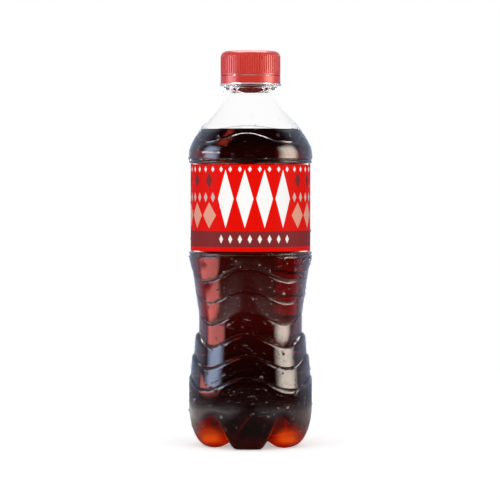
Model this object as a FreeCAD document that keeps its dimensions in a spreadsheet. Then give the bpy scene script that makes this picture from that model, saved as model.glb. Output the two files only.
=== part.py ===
import FreeCAD, Part
import math
import os
from types import SimpleNamespace

import Sketcher
from FreeCAD import Vector

# A clear blow-moulded bottle full of a dark soft drink, with a wrap-around label and a red screw cap.
# Millimetres, +Z up. The origin is on the table under the bottle's middle, and the front faces -Y.

SIZES = {
    # neck finish: the injection-moulded top that the cap screws on
    "mouth_bore": 21.74,
    "finish_wall": 1.6,
    "finish_height": 14.5,
    "lip_round": 0.4,
    "thread_depth": 1.24,
    "thread_pitch": 2.7,
    "thread_turn": 650,
    "thread_foot": 1.3,
    "thread_crest": 0.7,
    "thread_drop": 2.35,
    "vent_count": 4,
    "vent_width": 2.2,
    "bead_reach": 1.53,
    "bead_rise": 3.3,
    "bead_flat": 0.4,
    "bead_height": 1.4,
    "ring_reach": 3.2,
    "ring_height": 1.0,
    "ring_round": 0.35,
    # blown body, from the table up
    "barrel_diameter": 62.5,
    "foot_count": 5,
    "foot_circle_radius": 20.3,
    "foot_pad_width": 10.5,
    "foot_crown": 0.35,
    "gate_radius": 3.0,
    "gate_height": 6.0,
    "heel_height": 21.0,
    "first_rib_rise": 12.3,
    "rib_pitch": 10.8,
    "rib_step": 1.6,
    "rib_crease": 0.35,
    "wave_count": 4,
    "wave_rise": 3.2,
    "first_band_depth": 1.2,
    "second_band_depth": 3.1,
    "third_band_depth": 5.1,
    "fourth_band_depth": 4.1,
    "fifth_band_depth": 2.5,
    "band_crown": 0.25,
    "top_band_height": 10.0,
    "hoop_height": 1.7,
    "hoop_groove": 0.5,
    "panel_depth": 1.05,
    "bulge_height": 3.4,
    "shoulder_height": 33.0,
    "shoulder_fullness": 8.8,
    "throat_fullness": 9.0,
    "shoulder_wave_height": 7.8,
    "shoulder_wave_rise": 2.8,
    "shoulder_crease": 0.35,
    "shoulder_crease_width": 1.6,
    "throat_height": 1.2,
    "throat_step": 0.13,
    "throat_wall": 2.5,
    "side_wall": 0.4,
    "foot_wall": 0.7,
    "gate_wall": 1.6,
    # drink
    "fill_drop": 37.5,
    "drink_gap": 0.1,
    # label and its two strips of glue
    "label_height": 43.4,
    "label_margin": 0.5,
    "label_film": 0.1,
    "label_lap": 8.0,
    "label_ramp": 3.0,
    "glue_film": 0.1,
    "glue_clearance": 0.02,
    "glue_width": 6.0,
    "glue_inset": 1.0,
    # cap, liner and tamper band
    "cap_clearance": 0.25,
    "cap_wall": 1.2,
    "cap_top_wall": 1.2,
    "cap_crown": 0.8,
    "cap_round": 3.2,
    "grip_count": 72,
    "grip_radius": 0.4,
    "grip_depth": 0.3,
    "grip_drop": 2.7,
    "grip_margin": 0.8,
    "skirt_relief_height": 1.0,
    "liner_wall": 0.7,
    "liner_hold": 0.4,
    "liner_clearance": 0.15,
    "slit_height": 0.3,
    "band_clearance": 0.2,
    "band_height": 3.8,
    "bead_clearance": 0.3,
    "flap_wall": 0.45,
    "flap_gap": 0.35,
    "flap_root_rise": 0.8,
    "flap_count": 10,
    "flap_slot": 1.6,
    "bridge_count": 10,
    "bridge_width": 0.8,
    "bridge_reach": 0.4,
    "bridge_break": 0.05,
}

# the waist's bands from the lowest up, with a rib under each and one above the last
BANDS = (
    "first_band_depth",
    "second_band_depth",
    "third_band_depth",
    "fourth_band_depth",
    "fifth_band_depth",
)

# heights above the table and radii that follow from the sizes
LEVELS = {
    "barrel_radius": "Sizes.barrel_diameter / 2",
    "first_rib": "Sizes.heel_height + Sizes.first_rib_rise",
    "last_rib": f"first_rib + {len(BANDS)} * Sizes.rib_pitch",
    "lower_groove": "last_rib + Sizes.top_band_height",
    "groove_radius": "barrel_radius - Sizes.hoop_groove",
    "panel_radius": "barrel_radius - Sizes.panel_depth",
    "panel_foot": "lower_groove + Sizes.hoop_height",
    "label_foot": "panel_foot + Sizes.label_margin",
    "panel_top": "label_foot + Sizes.label_height + Sizes.label_margin",
    "upper_groove": "panel_top + Sizes.hoop_height",
    "shoulder_foot": "upper_groove + Sizes.bulge_height",
    "shoulder_top": "shoulder_foot + Sizes.shoulder_height",
    "ring_foot": "shoulder_top + Sizes.throat_height",
    "ring_top": "ring_foot + Sizes.ring_height",
    "lip": "ring_top + Sizes.finish_height",
    "fill_level": "lip - Sizes.fill_drop",
    "bore_radius": "Sizes.mouth_bore / 2",
    "throat_radius": "bore_radius + Sizes.throat_step + Sizes.throat_wall",
    "root_radius": "bore_radius + Sizes.finish_wall",
    "thread_radius": "root_radius + Sizes.thread_depth",
    "thread_rise": "Sizes.thread_pitch * Sizes.thread_turn / 360",
    "thread_start": "lip - Sizes.thread_drop - thread_rise",
    "cap_thread_start": "thread_start - Sizes.thread_pitch / 2",
    "bead_radius": "root_radius + Sizes.bead_reach",
    "bead_foot": "ring_top + Sizes.bead_rise",
    "ring_radius": "root_radius + Sizes.ring_reach",
    "cap_bore": "thread_radius + Sizes.cap_clearance",
    "cap_thread_tip": "root_radius + Sizes.cap_clearance",
    "cap_radius": "cap_bore + Sizes.cap_wall",
    "liner_radius": "cap_bore - Sizes.liner_clearance",
    "liner_top": "lip + Sizes.liner_wall",
    "cap_rim": "liner_top + Sizes.cap_top_wall",
    "cap_top": "cap_rim + Sizes.cap_crown",
    "band_foot": "ring_top + Sizes.band_clearance",
    "band_top": "band_foot + Sizes.band_height",
    "band_bore": "bead_radius + Sizes.bead_clearance",
    "flap_tip": "bead_foot - Sizes.flap_gap",
    "flap_tip_radius": "root_radius + Sizes.flap_gap",
    "skirt_foot": "band_top + Sizes.slit_height",
    "label_bore": "panel_radius + Sizes.glue_film",
    "label_radius": "label_bore + Sizes.label_film",
    "lap_bore": "label_radius + Sizes.glue_film",
    "lap_radius": "lap_bore + Sizes.label_film",
}

# points on each ring of the blown body
RING_POINTS = 80

doc = FreeCAD.newDocument("soft_drink_bottle")


def add_sheet(name, cells):
    """A sheet with one named cell a row."""
    sheet = doc.addObject("Spreadsheet::Sheet", name)
    for row, (alias, content) in enumerate(cells.items(), start=1):
        sheet.set(f"A{row}", alias)
        sheet.setAlias(f"B{row}", alias)
        sheet.set(f"B{row}", content)
    return sheet


sizes = add_sheet("Sizes", {alias: str(number) for alias, number in SIZES.items()})
levels = add_sheet("Levels", {alias: f"={formula}" for alias, formula in LEVELS.items()})
doc.recompute()
size = SimpleNamespace(**{alias: sizes.get(alias) for alias in SIZES})
level = SimpleNamespace(**{alias: levels.get(alias) for alias in LEVELS})


def value(expression):
    """The number that an expression on the two sheets gives now."""
    return float(sizes.evalExpression(expression))


def new_sketch(body, name, role, height=None):
    """A sketch on one of the body's own planes, raised to a height."""
    plane = next(feature for feature in body.Origin.OriginFeatures if feature.Role == role)
    sketch = body.newObject("Sketcher::SketchObject", name)
    sketch.AttachmentSupport = [(plane, "")]
    sketch.MapMode = "FlatFace"
    if height:
        sketch.setExpression("AttachmentOffset.Base.z", height)
    return sketch


def bind(sketch, constraint, expression):
    """A dimension of a sketch that follows the sheets."""
    index = sketch.addConstraint(constraint)
    sketch.setExpression(f"Constraints[{index}]", expression)


def place_point(sketch, edge, end, across, up):
    """One end of an edge at two expressions from the sketch's origin, where 0 means on the axis."""
    for kind, axis, expression in (("DistanceX", -2, across), ("DistanceY", -1, up)):
        if expression == "0":
            sketch.addConstraint(Sketcher.Constraint("PointOnObject", edge, end, axis))
        else:
            bind(sketch, Sketcher.Constraint(kind, -1, 1, edge, end, value(expression)), expression)


def add_outline(sketch, corners):
    """A closed outline of straight lines through corners given as expressions."""
    points = [Vector(value(across), value(up), 0) for across, up in corners]
    for index, point in enumerate(points):
        sketch.addGeometry(Part.LineSegment(point, points[(index + 1) % len(points)]))
    for index, (across, up) in enumerate(corners):
        sketch.addConstraint(Sketcher.Constraint("Coincident", index, 2, (index + 1) % len(corners), 1))
        place_point(sketch, index, 1, across, up)


def add_arc(sketch, radius, start, end):
    """An arc about the sketch's origin between two angles in radians, its radius an expression."""
    circle = Part.Circle(Vector(), Vector(0, 0, 1), value(radius))
    edge = sketch.addGeometry(Part.ArcOfCircle(circle, start, end))
    sketch.addConstraint(Sketcher.Constraint("Coincident", edge, 3, -1, 1))
    bind(sketch, Sketcher.Constraint("Radius", edge, value(radius)), radius)
    return edge


def add_line(sketch, first, second):
    """A straight line that joins two ends, each given as an edge and its end's number."""
    line = sketch.addGeometry(Part.LineSegment(sketch.getPoint(*first), sketch.getPoint(*second)))
    sketch.addConstraint(Sketcher.Constraint("Coincident", line, 1, *first))
    sketch.addConstraint(Sketcher.Constraint("Coincident", line, 2, *second))


def turned(body, name, corners):
    """A solid of revolution about Z from half of its section."""
    sketch = new_sketch(body, f"{name}_section", "XZ_Plane")
    add_outline(sketch, corners)
    feature = body.newObject("PartDesign::Revolution", name)
    feature.Profile = sketch
    feature.ReferenceAxis = (sketch, ["V_Axis"])
    feature.Angle = 360
    return feature


def rounded(body, name, radius, circles):
    """Rounds the circular edges at the given radii and heights."""
    doc.recompute()
    base = body.Tip
    names = []
    for index, edge in enumerate(base.Shape.Edges, start=1):
        middle = edge.BoundBox.Center
        for edge_radius, height in circles:
            spread = abs(edge.BoundBox.XMax - edge_radius) + abs(middle.z - height) + edge.BoundBox.ZLength
            if spread < 0.001:
                names.append(f"Edge{index}")
    feature = body.newObject("PartDesign::Fillet", name)
    feature.Base = (base, names)
    feature.setExpression("Radius", radius)


def repeated(body, name, feature, count):
    """Copies of a feature evenly round Z."""
    axis = next(part for part in body.Origin.OriginFeatures if part.Role == "Z_Axis")
    pattern = body.newObject("PartDesign::PolarPattern", name)
    pattern.Originals = [feature]
    pattern.Axis = (axis, [""])
    pattern.Angle = 360
    pattern.setExpression("Occurrences", count)
    body.Tip = pattern


def cut_down(body, name, sketch, depth):
    """A pocket from the sketch's height downwards."""
    feature = body.newObject("PartDesign::Pocket", name)
    feature.Profile = sketch
    feature.setExpression("Length", depth)
    return feature


def add_thread(body, name, start, wall, tip):
    """A right-hand thread ridge that stands on a wall and narrows to its tip."""
    sketch = new_sketch(body, f"{name}_section", "XZ_Plane")
    corners = [
        (wall, f"{start} - Sizes.thread_foot / 2"),
        (tip, f"{start} - Sizes.thread_crest / 2"),
        (tip, f"{start} + Sizes.thread_crest / 2"),
        (wall, f"{start} + Sizes.thread_foot / 2"),
    ]
    add_outline(sketch, corners)
    feature = body.newObject("PartDesign::AdditiveHelix", name)
    feature.Profile = sketch
    feature.ReferenceAxis = (sketch, ["V_Axis"])
    feature.Mode = "pitch-height-angle"
    feature.setExpression("Pitch", "Sizes.thread_pitch")
    feature.setExpression("Height", "Levels.thread_rise")
    return feature


def slot_sketch(body, name, height, near, far, width):
    """A rectangle across +X from one radius to another."""
    sketch = new_sketch(body, name, "XY_Plane", height)
    low = f"-{width} / 2"
    high = f"{width} / 2"
    add_outline(sketch, [(near, low), (far, low), (far, high), (near, high)])
    return sketch


# neck finish: lip, vented thread, bead that holds the tamper band, and the ring that carries the preform


def make_neck_finish():
    body = doc.addObject("PartDesign::Body", "neck_finish")
    turned(body, "finish_turning", [
        ("Levels.bore_radius", "Levels.ring_foot"),
        ("Levels.ring_radius", "Levels.ring_foot"),
        ("Levels.ring_radius", "Levels.ring_top"),
        ("Levels.root_radius", "Levels.ring_top"),
        ("Levels.root_radius", "Levels.bead_foot"),
        ("Levels.bead_radius", "Levels.bead_foot"),
        ("Levels.bead_radius", "Levels.bead_foot + Sizes.bead_flat"),
        ("Levels.root_radius", "Levels.bead_foot + Sizes.bead_height"),
        ("Levels.root_radius", "Levels.lip"),
        ("Levels.bore_radius", "Levels.lip"),
    ])
    rounded(body, "ring_rim", "Sizes.ring_round", [
        (level.ring_radius, level.ring_foot),
        (level.ring_radius, level.ring_top),
    ])
    rounded(body, "lip_edges", "Sizes.lip_round", [
        (level.root_radius, level.lip),
        (level.bore_radius, level.lip),
    ])
    inside_wall = "Levels.root_radius - Sizes.finish_wall / 4"
    add_thread(body, "neck_thread", "Levels.thread_start", inside_wall, "Levels.thread_radius")
    vent = slot_sketch(
        body,
        "vent_outline",
        "Levels.lip - Sizes.thread_drop + Sizes.thread_foot",
        "Levels.root_radius",
        "Levels.thread_radius + Sizes.thread_depth",
        "Sizes.vent_width",
    )
    vent_cut = cut_down(body, "vent", vent, "Levels.thread_rise + 2 * Sizes.thread_foot")
    repeated(body, "vents", vent_cut, "Sizes.vent_count")
    return body


# blown body: rings of points from the gate under the middle out over the feet and up to the neck


def ease(share):
    """A smooth step from 0 to 1."""
    share = min(max(share, 0), 1)
    return (1 - math.cos(math.pi * share)) / 2


ANGLES = [2 * math.pi * step / RING_POINTS for step in range(RING_POINTS)]


def ring_point(radius, angle, height):
    """A point at an angle from the front, towards +X."""
    return Vector(radius * math.sin(angle), -radius * math.cos(angle), height)


def round_ring(radius, height, rise=0):
    """A ring of one radius whose height waves by the rise, highest at the front."""
    return [ring_point(radius, angle, height + rise * math.cos(size.wave_count * angle)) for angle in ANGLES]


def foot_share(angle):
    """1 over the middle of a foot and 0 along a valley between two feet."""
    half_sector = math.pi / size.foot_count
    pad = size.foot_pad_width / 2 / size.foot_circle_radius
    from_middle = abs((angle + half_sector) % (2 * half_sector) - half_sector)
    return 1 - ease((from_middle - pad) / (half_sector - pad))


def blended_ring(foot, valley):
    """A ring that runs from a foot's outline to the valley's and back, each given as radius and height."""
    ring = []
    for angle in ANGLES:
        share = foot_share(angle)
        radius = valley[0] + (foot[0] - valley[0]) * share
        height = valley[1] + (foot[1] - valley[1]) * share
        ring.append(ring_point(radius, angle, height))
    return ring


def valley_point(turn):
    """The valley's outline, a quarter of an ellipse from the gate up to the heel."""
    radius = size.gate_radius + (level.barrel_radius - size.gate_radius) * math.sin(turn)
    height = size.heel_height - (size.heel_height - size.gate_height) * math.cos(turn)
    return radius, height


def base_stations():
    """Rings and wall thicknesses from the gate over the feet to the heel."""
    stations = []
    inner_steps = 8
    outer_steps = 10
    span = size.foot_circle_radius - size.gate_radius
    valley_middle = math.asin(span / (level.barrel_radius - size.gate_radius))
    for step in range(inner_steps):
        share = step / inner_steps
        radius = size.gate_radius + span * share
        height = (size.gate_height + size.foot_crown) * ease(1 - share) - size.foot_crown
        turn = math.asin((radius - size.gate_radius) / (level.barrel_radius - size.gate_radius))
        wall = size.foot_wall + (size.gate_wall - size.foot_wall) * (1 - share) ** 2
        stations.append((blended_ring((radius, height), valley_point(turn)), wall))
    for step in range(outer_steps + 1):
        share = step / outer_steps
        turn = math.pi / 2 * share
        reach = level.barrel_radius - size.foot_circle_radius
        radius = size.foot_circle_radius + reach * math.sin(turn)
        height = size.heel_height - (size.heel_height + size.foot_crown) * math.cos(turn)
        valley = valley_point(valley_middle + (math.pi / 2 - valley_middle) * share)
        wall = size.foot_wall + (size.side_wall - size.foot_wall) * share
        stations.append((blended_ring((radius, height), valley), wall))
    return stations


def waist_stations():
    """The waist's bands and the creased steps between them, all following one wave."""
    depths = [0, *(getattr(size, band) for band in BANDS), 0]
    crease_spread = 0.8
    stations = []
    for rib in range(len(depths) - 1):
        below = level.barrel_radius - depths[rib]
        above = level.barrel_radius - depths[rib + 1]
        middle = level.first_rib + rib * size.rib_pitch
        for share in (-1 - crease_spread, -1, -0.5, 0, 0.5, 1, 1 + crease_spread):
            to_narrow = share if above < below else -share
            crease = size.rib_crease * max(0, 1 - abs(to_narrow - 1) / crease_spread)
            radius = below + (above - below) * ease((share + 1) / 2) - crease
            height = middle + share * size.rib_step / 2
            stations.append((round_ring(radius, height, size.wave_rise), size.side_wall))
        if rib < len(depths) - 2:
            crown = round_ring(above + size.band_crown, middle + size.rib_pitch / 2, size.wave_rise)
            stations.append((crown, size.side_wall))
    return stations


def hoop_stations(groove, panel):
    """A half-round hoop between a groove and the edge of the label panel."""
    stations = []
    for share in (0, 0.15, 0.5, 0.85, 1):
        floor = level.groove_radius + (level.panel_radius - level.groove_radius) * share
        radius = floor + (level.barrel_radius - floor) * math.sin(math.pi * share)
        stations.append((round_ring(radius, groove + (panel - groove) * share), size.side_wall))
    return stations


def shoulder_radius(height):
    """The shoulder's radius at a height, on one curve that leaves the bulge and meets the throat upright."""
    handles = [
        (level.barrel_radius, level.shoulder_foot),
        (level.barrel_radius, level.shoulder_foot + size.shoulder_fullness),
        (level.throat_radius, level.shoulder_top - size.throat_fullness),
        (level.throat_radius, level.shoulder_top),
    ]
    curve = Part.BezierCurve()
    curve.setPoles([Vector(radius, 0, rise) for radius, rise in handles])
    low = 0.0
    high = 1.0
    for _ in range(30):
        share = (low + high) / 2
        if curve.value(share).z < height:
            low = share
        else:
            high = share
    return curve.value(low).x


def shoulder_stations():
    """The shoulder with its shallow wavy crease, thickening towards the throat."""
    steps = 18
    spread = size.shoulder_crease_width / 2
    crease_height = level.shoulder_foot + size.shoulder_wave_height
    even = [level.shoulder_foot + size.shoulder_height * step / steps for step in range(steps + 1)]
    heights = [height for height in even if abs(height - crease_height) > 1.5 * spread]
    heights += [crease_height + spread * share for share in (-1, -0.5, 0, 0.5, 1)]
    stations = []
    for height in sorted(heights):
        off = (height - crease_height) / size.shoulder_wave_height
        rise = size.shoulder_wave_rise * max(0, 1 - off ** 2) ** 2
        crease = size.shoulder_crease * max(0, 1 - ((height - crease_height) / spread) ** 2)
        share = (height - level.shoulder_foot) / size.shoulder_height
        wall = size.side_wall + (size.throat_wall - size.side_wall) * share ** 3
        ring = []
        for angle in ANGLES:
            lifted = height + rise * math.cos(size.wave_count * angle)
            ring.append(ring_point(shoulder_radius(lifted) - crease, angle, lifted))
        stations.append((ring, wall))
    return stations


def body_stations():
    """Every ring of the blown body's outside, each with the wall's thickness there."""
    half_groove = size.hoop_height / 2
    stations = base_stations()
    stations += waist_stations()
    stations.append((round_ring(level.barrel_radius, level.lower_groove - half_groove), size.side_wall))
    stations += hoop_stations(level.lower_groove, level.panel_foot)
    stations += reversed(hoop_stations(level.upper_groove, level.panel_top))
    stations.append((round_ring(level.barrel_radius, level.upper_groove + half_groove), size.side_wall))
    stations += shoulder_stations()
    stations.append((round_ring(level.throat_radius, level.ring_foot), size.throat_wall))
    return stations


def inset_rings(stations, gap):
    """The rings moved inwards, square to the surface, by the wall and a gap."""
    rings = [ring for ring, wall in stations]
    inset = []
    for index, (ring, wall) in enumerate(stations):
        depth = wall + gap
        if index == 0:
            inset.append([point + Vector(0, 0, depth) for point in ring])
            continue
        below = rings[index - 1]
        above = rings[min(index + 1, len(rings) - 1)]
        moved = []
        for step, point in enumerate(ring):
            around = ring[(step + 1) % RING_POINTS] - ring[step - 1]
            outwards = around.cross(above[step] - below[step]).normalize()
            moved.append(point - outwards * depth)
        inset.append(moved)
    return inset


def ring_wire(ring):
    """A smooth closed curve through a ring's points."""
    curve = Part.BSplineCurve()
    knots = [step / RING_POINTS for step in range(RING_POINTS + 1)]
    curve.interpolate(Points=ring, PeriodicFlag=True, Parameters=knots)
    return Part.Wire([curve.toShape()])


def make_blown_wall(stations):
    """The blown wall: outside, inside, the gate's two faces and the rim that joins the neck finish."""
    outside = [ring_wire(ring) for ring, wall in stations]
    inside = [ring_wire(ring) for ring in inset_rings(stations, 0)]
    rim = Part.makeFace([outside[-1], inside[-1]], "Part::FaceMakerBullseye")
    faces = Part.makeLoft(outside, False, True).Faces + Part.makeLoft(inside, False, True).Faces
    faces += [Part.Face(outside[0]), Part.Face(inside[0])] + rim.Faces
    shell = Part.makeShell(faces)
    shell.sewShape()
    feature = doc.addObject("Part::Feature", "blown_wall")
    feature.Shape = Part.makeSolid(shell)
    return feature


def slab(name, foot, height):
    """A block wider than the bottle, from one height to another."""
    block = doc.addObject("Part::Box", name)
    for side in ("Length", "Width"):
        block.setExpression(side, "2 * Sizes.barrel_diameter")
    for axis in ("x", "y"):
        block.setExpression(f"Placement.Base.{axis}", "-Sizes.barrel_diameter")
    block.setExpression("Placement.Base.z", foot)
    block.setExpression("Height", height)
    return block


def combined(kind, name, base, tool):
    """A boolean of two objects, its faces left as they are."""
    feature = doc.addObject(kind, name)
    feature.Base = base
    feature.Tool = tool
    feature.Refine = False
    return feature


def make_bottle(stations):
    """The neck finish and the blown wall in one piece, its feet cut flat by the table."""
    table = slab("table", "-Sizes.heel_height", "Sizes.heel_height")
    standing_wall = combined("Part::Cut", "standing_wall", make_blown_wall(stations), table)
    return combined("Part::Fuse", "bottle", make_neck_finish(), standing_wall)


def make_drink(stations):
    """The drink fills the bottle up to a level, a hair inside the wall."""
    rings = [ring_wire(ring) for ring in inset_rings(stations, size.drink_gap)]
    filling = doc.addObject("Part::Feature", "filling")
    filling.Shape = Part.makeLoft(rings, True, True)
    return combined("Part::Common", "drink", filling, slab("filled_space", "0", "Levels.fill_level"))


# label: a film strip wrapped once round the panel, its tail lapped over its start at the back and glued


def make_label():
    body = doc.addObject("PartDesign::Body", "label")
    sketch = new_sketch(body, "label_plan", "XY_Plane", "Levels.label_foot")
    back = math.pi / 2
    ramp = size.label_ramp / level.label_radius
    lap = size.label_lap / level.lap_radius
    inner = add_arc(sketch, "Levels.label_bore", back, back + 2 * math.pi - ramp)
    outer = add_arc(sketch, "Levels.label_radius", back, back + 2 * math.pi - ramp)
    lap_inner = add_arc(sketch, "Levels.lap_bore", back, back + lap)
    lap_outer = add_arc(sketch, "Levels.lap_radius", back, back + lap)
    for arc in (inner, outer, lap_inner, lap_outer):
        sketch.addConstraint(Sketcher.Constraint("PointOnObject", arc, 1, -2))
    for arc in (inner, outer):
        bind(sketch, Sketcher.Constraint("DistanceX", -1, 1, arc, 2, size.label_ramp), "Sizes.label_ramp")
    for arc in (lap_inner, lap_outer):
        bind(sketch, Sketcher.Constraint("DistanceX", arc, 2, -1, 1, size.label_lap), "Sizes.label_lap")
    add_line(sketch, (inner, 1), (outer, 1))
    add_line(sketch, (inner, 2), (lap_inner, 1))
    add_line(sketch, (outer, 2), (lap_outer, 1))
    add_line(sketch, (lap_inner, 2), (lap_outer, 2))
    film = body.newObject("PartDesign::Pad", "label_film")
    film.Profile = sketch
    film.setExpression("Length", "Sizes.label_height")
    return body


def make_glue(name, near, far):
    """An upright strip of glue behind the label's seam, between two radii."""
    body = doc.addObject("PartDesign::Body", name)
    sketch = new_sketch(body, f"{name}_plan", "XY_Plane", "Levels.label_foot + Sizes.glue_inset")
    back = math.pi / 2
    start = size.glue_inset / level.label_radius
    end = (size.glue_inset + size.glue_width) / level.label_radius
    arcs = [
        add_arc(sketch, f"{near} + Sizes.glue_clearance", back + start, back + end),
        add_arc(sketch, f"{far} - Sizes.glue_clearance", back + start, back + end),
    ]
    for arc in arcs:
        begin = Sketcher.Constraint("DistanceX", arc, 1, -1, 1, size.glue_inset)
        bind(sketch, begin, "Sizes.glue_inset")
        finish = Sketcher.Constraint("DistanceX", arc, 2, -1, 1, size.glue_inset + size.glue_width)
        bind(sketch, finish, "Sizes.glue_inset + Sizes.glue_width")
    for end_number in (1, 2):
        add_line(sketch, (arcs[0], end_number), (arcs[1], end_number))
    strip = body.newObject("PartDesign::Pad", f"{name}_strip")
    strip.Profile = sketch
    strip.setExpression("Length", "Sizes.label_height - 2 * Sizes.glue_inset")
    return body


# closure: the cap with its grip grooves and inside thread, the liner, and the band that stays on the neck


def make_cap_shell():
    body = doc.addObject("PartDesign::Body", "cap_shell")
    hold = "Levels.lip - Sizes.liner_clearance"
    turned(body, "cap_turning", [
        ("Levels.band_bore", "Levels.skirt_foot"),
        ("Levels.cap_radius", "Levels.skirt_foot"),
        ("Levels.cap_radius", "Levels.cap_rim"),
        ("0", "Levels.cap_top"),
        ("0", "Levels.liner_top"),
        ("Levels.cap_bore", "Levels.liner_top"),
        ("Levels.cap_bore", hold),
        ("Levels.cap_bore - Sizes.liner_hold", f"{hold} - Sizes.liner_hold"),
        ("Levels.cap_bore", f"{hold} - 2 * Sizes.liner_hold"),
        ("Levels.cap_bore", "Levels.skirt_foot + Sizes.skirt_relief_height"),
        ("Levels.band_bore", "Levels.skirt_foot + Sizes.skirt_relief_height / 2"),
    ])
    rounded(body, "cap_edge", "Sizes.cap_round", [(level.cap_radius, level.cap_rim)])
    groove = new_sketch(body, "grip_outline", "XY_Plane", "Levels.cap_top - Sizes.grip_drop")
    reach = "Levels.cap_radius + Sizes.grip_radius - Sizes.grip_depth"
    centre = Vector(value(reach), 0, 0)
    circle = groove.addGeometry(Part.Circle(centre, Vector(0, 0, 1), size.grip_radius))
    bind(groove, Sketcher.Constraint("Radius", circle, size.grip_radius), "Sizes.grip_radius")
    place_point(groove, circle, 3, reach, "0")
    length = "Levels.cap_top - Sizes.grip_drop - Levels.skirt_foot - Sizes.grip_margin"
    grip = cut_down(body, "grip", groove, length)
    repeated(body, "grips", grip, "Sizes.grip_count")
    inside_wall = "Levels.cap_bore + Sizes.cap_wall / 4"
    add_thread(body, "cap_thread", "Levels.cap_thread_start", inside_wall, "Levels.cap_thread_tip")
    return body


def make_cap_liner():
    body = doc.addObject("PartDesign::Body", "cap_liner")
    turned(body, "liner_disc", [
        ("0", "Levels.lip"),
        ("Levels.liner_radius", "Levels.lip"),
        ("Levels.liner_radius", "Levels.liner_top"),
        ("0", "Levels.liner_top"),
    ])
    return body


def make_tamper_band():
    body = doc.addObject("PartDesign::Body", "tamper_band")
    turned(body, "band_turning", [
        ("Levels.band_bore", "Levels.band_top"),
        ("Levels.cap_radius", "Levels.band_top"),
        ("Levels.cap_radius", "Levels.band_foot"),
        ("Levels.band_bore - Sizes.flap_wall", "Levels.band_foot"),
        ("Levels.flap_tip_radius", "Levels.flap_tip"),
        ("Levels.flap_tip_radius + Sizes.flap_wall", "Levels.flap_tip"),
        ("Levels.band_bore", "Levels.band_foot + Sizes.flap_root_rise"),
    ])
    slot = slot_sketch(
        body,
        "flap_slot_outline",
        "Levels.bead_foot",
        "Levels.root_radius",
        "Levels.band_bore - Sizes.flap_wall / 4",
        "Sizes.flap_slot",
    )
    slot_cut = cut_down(body, "flap_slot", slot, "Levels.bead_foot - Levels.band_foot - Sizes.flap_root_rise")
    repeated(body, "flap_slots", slot_cut, "Sizes.flap_count")
    bridge = slot_sketch(
        body,
        "bridge_outline",
        "Levels.band_top - Sizes.slit_height",
        "(Levels.band_bore + Levels.cap_radius - Sizes.bridge_reach) / 2",
        "(Levels.band_bore + Levels.cap_radius + Sizes.bridge_reach) / 2",
        "Sizes.bridge_width",
    )
    stub = body.newObject("PartDesign::Pad", "bridge_stub")
    stub.Profile = bridge
    stub.setExpression("Length", "2 * Sizes.slit_height - Sizes.bridge_break")
    repeated(body, "bridge_stubs", stub, "Sizes.bridge_count")
    return body


stations = body_stations()
pieces = [
    make_bottle(stations),
    make_drink(stations),
    make_label(),
    make_glue("label_pickup_glue", "Levels.panel_radius", "Levels.label_bore"),
    make_glue("label_lap_glue", "Levels.label_radius", "Levels.lap_bore"),
    make_cap_shell(),
    make_cap_liner(),
    make_tamper_band(),
]
doc.recompute()

for thing in doc.Objects:
    if "Invalid" in thing.State or "Error" in thing.State:
        raise RuntimeError(f"{thing.Label} failed: {thing.State}")

os.makedirs("parts", exist_ok=True)
for piece in pieces:
    if piece.Shape.isNull() or not piece.Shape.isValid():
        raise RuntimeError(f"{piece.Label} has no valid shape")
for piece in pieces:
    piece.Shape.exportStep(f"parts/{piece.Label}.step")
    print(piece.Label, len(piece.Shape.Solids), round(piece.Shape.Volume, 1), piece.Shape.BoundBox)
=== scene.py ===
import math

import bpy
import numpy as np
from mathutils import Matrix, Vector


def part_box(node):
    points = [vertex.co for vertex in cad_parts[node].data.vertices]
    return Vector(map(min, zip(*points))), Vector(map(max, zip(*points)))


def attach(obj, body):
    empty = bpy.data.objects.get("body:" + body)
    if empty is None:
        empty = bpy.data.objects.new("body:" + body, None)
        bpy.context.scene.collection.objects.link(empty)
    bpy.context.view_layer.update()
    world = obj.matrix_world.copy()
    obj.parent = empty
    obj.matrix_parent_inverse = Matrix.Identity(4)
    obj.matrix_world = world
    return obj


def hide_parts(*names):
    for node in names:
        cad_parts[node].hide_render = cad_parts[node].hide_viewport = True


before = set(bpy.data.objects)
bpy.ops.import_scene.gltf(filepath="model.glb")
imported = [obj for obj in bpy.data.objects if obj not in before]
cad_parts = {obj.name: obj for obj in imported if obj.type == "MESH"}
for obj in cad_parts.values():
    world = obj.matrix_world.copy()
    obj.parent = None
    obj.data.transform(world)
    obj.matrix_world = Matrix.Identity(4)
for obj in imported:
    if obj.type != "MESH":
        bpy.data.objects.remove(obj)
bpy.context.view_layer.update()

# Bottle: clear PET, stretch-blown in one piece from an injection-moulded preform. The neck keeps the
# preform's moulded thread, bead and carrying ring, and the blow mould gives the wavy ribs, the sunk
# label panel and the feet. Sizes are in millimetres, apart from the studio's and the camera's.

MM = 0.001
AROUND = 160
BARREL_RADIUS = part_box("bottle")[1].x / MM
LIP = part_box("bottle")[1].z / MM
angles = np.linspace(0, 2 * np.pi, AROUND, endpoint=False)


def ring(radius, height):
    """Points round the axis from the front towards +X; a radius or height may vary with the angle."""
    return np.stack([radius * np.sin(angles), -radius * np.cos(angles), height + 0 * angles], axis=1)


def ease(share):
    """A smooth step from 0 to 1."""
    return (1 - np.cos(np.pi * np.clip(share, 0, 1))) / 2


# the base: five feet with small flat pads, and valleys between them that run from the gate up to the heel
FOOT_COUNT = 5
FOOT_CIRCLE_RADIUS = 20.3
FOOT_PAD_WIDTH = 10.5
FOOT_CROWN = 0.35
FOOT_ROUND = 1.4
GATE_RADIUS = 3.0
GATE_HEIGHT = 6.0
HEEL_HEIGHT = 21.0
SIDE_WALL = 0.4
FOOT_WALL = 0.7
GATE_WALL = 1.6
INNER_FOOT_ROWS = 16
OUTER_FOOT_ROWS = 26

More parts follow.
